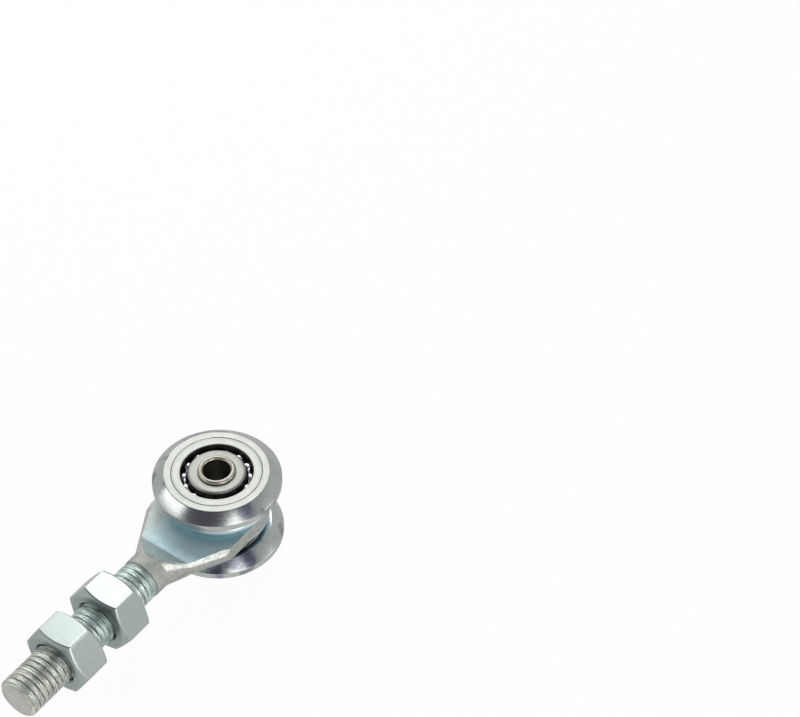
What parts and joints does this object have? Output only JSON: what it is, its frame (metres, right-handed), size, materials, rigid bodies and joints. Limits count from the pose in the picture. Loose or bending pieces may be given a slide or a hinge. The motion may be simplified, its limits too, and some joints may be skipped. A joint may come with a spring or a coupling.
{
  "type": "sliding gate trolley",
  "caption": "Sliding gate trolley: bevelled ball-bearing rollers on a hollow axle either side of the flat eye of a threaded hanger bolt with clamping nuts.",
  "frame": {"origin": "on the axle's centre line, in the middle of the flat eye between the rollers", "axes": "+Z along the axle, the bolt along -X away from the rollers"},
  "size_m": [0.1023, 0.0366, 0.0296],
  "materials": {
    "zinc_forging": "zinc plated, satin",
    "zinc_nut": "zinc plated, bright",
    "zinc_rim": "turned and zinc plated",
    "zinc_race": "turned and zinc plated",
    "nickel_tube": "nickel plated, rolled over",
    "zinc_spacer": "zinc plated",
    "polished_ball": "polished"
  },
  "bodies": {
    "hanger": {"hanger_bolt": "zinc_forging", "axle_tube": "nickel_tube", "upper_inner_race": "zinc_race", "lower_inner_race": "zinc_race", "upper_spacer": "zinc_spacer", "lower_spacer": "zinc_spacer"},
    "inner_nut": {"inner_nut": "zinc_nut"},
    "outer_nut": {"outer_nut": "zinc_nut"},
    "upper_roller": {"upper_rim": "zinc_rim", "upper_outer_race": "zinc_race"},
    "upper_ball_ring": {"upper_ball_01": "polished_ball", "upper_ball_02": "polished_ball", "upper_ball_03": "polished_ball", "upper_ball_04": "polished_ball", "upper_ball_05": "polished_ball", "upper_ball_06": "polished_ball", "upper_ball_07": "polished_ball", "upper_ball_08": "polished_ball", "upper_ball_09": "polished_ball", "upper_ball_10": "polished_ball", "upper_ball_11": "polished_ball", "upper_ball_12": "polished_ball", "upper_ball_13": "polished_ball", "upper_ball_14": "polished_ball"},
    "lower_roller": {"lower_rim": "zinc_rim", "lower_outer_race": "zinc_race"},
    "lower_ball_ring": {"lower_ball_01": "polished_ball", "lower_ball_02": "polished_ball", "lower_ball_03": "polished_ball", "lower_ball_04": "polished_ball", "lower_ball_05": "polished_ball", "lower_ball_06": "polished_ball", "lower_ball_07": "polished_ball", "lower_ball_08": "polished_ball", "lower_ball_09": "polished_ball", "lower_ball_10": "polished_ball", "lower_ball_11": "polished_ball", "lower_ball_12": "polished_ball", "lower_ball_13": "polished_ball", "lower_ball_14": "polished_ball"}
  },
  "joints": [
    {"name": "inner_nut_travel", "type": "slide", "parent": "hanger", "child": "inner_nut", "axis": [1, 0, 0], "range_m": [-0.0033, 0.0079]},
    {"name": "outer_nut_travel", "type": "slide", "parent": "hanger", "child": "outer_nut", "axis": [1, 0, 0], "range_m": [-0.0145, 0.0033]},
    {"name": "upper_roller_spin", "type": "hinge", "parent": "hanger", "child": "upper_roller", "pos_m": [0, 0, 0.01025], "axis": [0, 0, 1], "continuous": true},
    {"name": "upper_ball_ring_spin", "type": "hinge", "parent": "hanger", "child": "upper_ball_ring", "pos_m": [0, 0, 0.01025], "axis": [0, 0, 1], "continuous": true},
    {"name": "lower_roller_spin", "type": "hinge", "parent": "hanger", "child": "lower_roller", "pos_m": [0, 0, -0.01025], "axis": [0, 0, 1], "continuous": true},
    {"name": "lower_ball_ring_spin", "type": "hinge", "parent": "hanger", "child": "lower_ball_ring", "pos_m": [0, 0, -0.01025], "axis": [0, 0, 1], "continuous": true}
  ],
  "couplings": [
    {"joint": "upper_ball_ring_spin", "follows": "upper_roller_spin", "ratio": 0.607},
    {"joint": "lower_ball_ring_spin", "follows": "lower_roller_spin", "ratio": 0.607}
  ]
}
